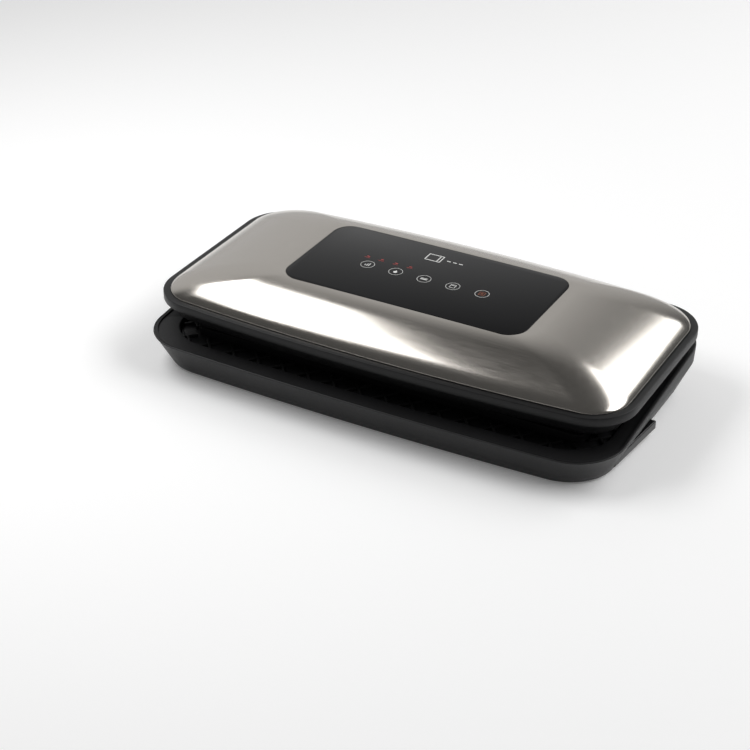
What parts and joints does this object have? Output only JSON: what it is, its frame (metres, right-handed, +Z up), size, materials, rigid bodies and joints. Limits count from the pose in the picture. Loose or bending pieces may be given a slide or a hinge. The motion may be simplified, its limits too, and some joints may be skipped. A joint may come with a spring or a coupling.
{
  "type": "vacuum sealer",
  "caption": "Low, long kitchen machine that sucks the air out of a bag and welds it shut: a hinged lid with a domed steel cover and a flat touch panel over a tray-shaped base.",
  "frame": {"origin": "on the floor under the middle of the machine", "axes": "+X along the length to the right as seen by the user, +Y from the front to the hinge at the back, +Z up"},
  "size_m": [0.383, 0.2104, 0.0746],
  "materials": {
    "black_abs": "fine moulded texture",
    "gloss_black_abs": "polished",
    "brushed_stainless_steel": "brushed along the length",
    "black_panel": "printed from behind",
    "foot_rubber": "matt",
    "gasket_foam": "closed-cell foam",
    "silicone_rubber": "smooth",
    "ptfe_tape": "coated glass cloth",
    "bright_metal": "rolled",
    "zinc_plated_steel": "zinc plated",
    "brass": "turned",
    "circuit_board": "solder mask",
    "white_nylon": "moulded",
    "enamelled_copper": "wound"
  },
  "bodies": {
    "base": {"base_shell": "black_abs", "bottom_cover": "black_abs", "foot_front_left": "foot_rubber", "foot_front_right": "foot_rubber", "foot_back_left": "foot_rubber", "foot_back_right": "foot_rubber", "base_screw_1": "zinc_plated_steel", "base_screw_2": "zinc_plated_steel", "base_screw_3": "zinc_plated_steel", "base_screw_4": "zinc_plated_steel", "lower_gasket": "gasket_foam", "seal_bar": "black_abs", "heating_strip": "bright_metal", "ptfe_tape": "ptfe_tape", "pump_motor": "zinc_plated_steel", "pump_head": "black_abs", "pump_bracket": "zinc_plated_steel", "suction_nozzle": "black_abs", "suction_hose": "silicone_rubber", "power_board": "circuit_board", "transformer": "enamelled_copper", "lid_switch": "black_abs", "power_inlet": "black_abs", "inlet_pin_left": "bright_metal", "inlet_pin_right": "bright_metal", "hinge_pin_right": "zinc_plated_steel", "hinge_pin_left": "zinc_plated_steel", "lever_pin_right": "zinc_plated_steel", "lever_pin_left": "zinc_plated_steel"},
    "rotor": {"pump_rotor": "brass"},
    "plunger": {"switch_plunger": "white_nylon"},
    "lever_right": {"release_lever_right": "gloss_black_abs"},
    "lever_left": {"release_lever_left": "gloss_black_abs"},
    "lid": {"lid_frame": "black_abs", "steel_cover": "brushed_stainless_steel", "touch_panel": "black_panel", "panel_carrier": "black_abs", "control_board": "circuit_board", "lid_lining": "black_abs", "upper_gasket": "gasket_foam", "pressure_strip": "silicone_rubber", "lid_catch_right": "black_abs", "lid_catch_left": "black_abs"}
  },
  "joints": [
    {"name": "lid_hinge", "type": "hinge", "parent": "base", "child": "lid", "pos_m": [0, 0.0977, 0.0395], "axis": [-1, 0, 0], "range_deg": [0, 80]},
    {"name": "lever_right_press", "type": "hinge", "parent": "base", "child": "lever_right", "pos_m": [0.1776, -0.054, 0.008], "axis": [0, 0, 1], "range_deg": [0, 3.2], "stiffness_Nm_per_rad": 2},
    {"name": "lever_left_press", "type": "hinge", "parent": "base", "child": "lever_left", "pos_m": [-0.1776, -0.054, 0.008], "axis": [0, 0, -1], "range_deg": [0, 3.2], "stiffness_Nm_per_rad": 2},
    {"name": "switch_press", "type": "slide", "parent": "base", "child": "plunger", "axis": [0, 0, 1], "range_m": [-0.002, 0], "stiffness_N_per_m": 300},
    {"name": "pump_spin", "type": "hinge", "parent": "base", "child": "rotor", "pos_m": [0.066, 0.048, 0.017], "axis": [1, 0, 0], "continuous": true}
  ]
}
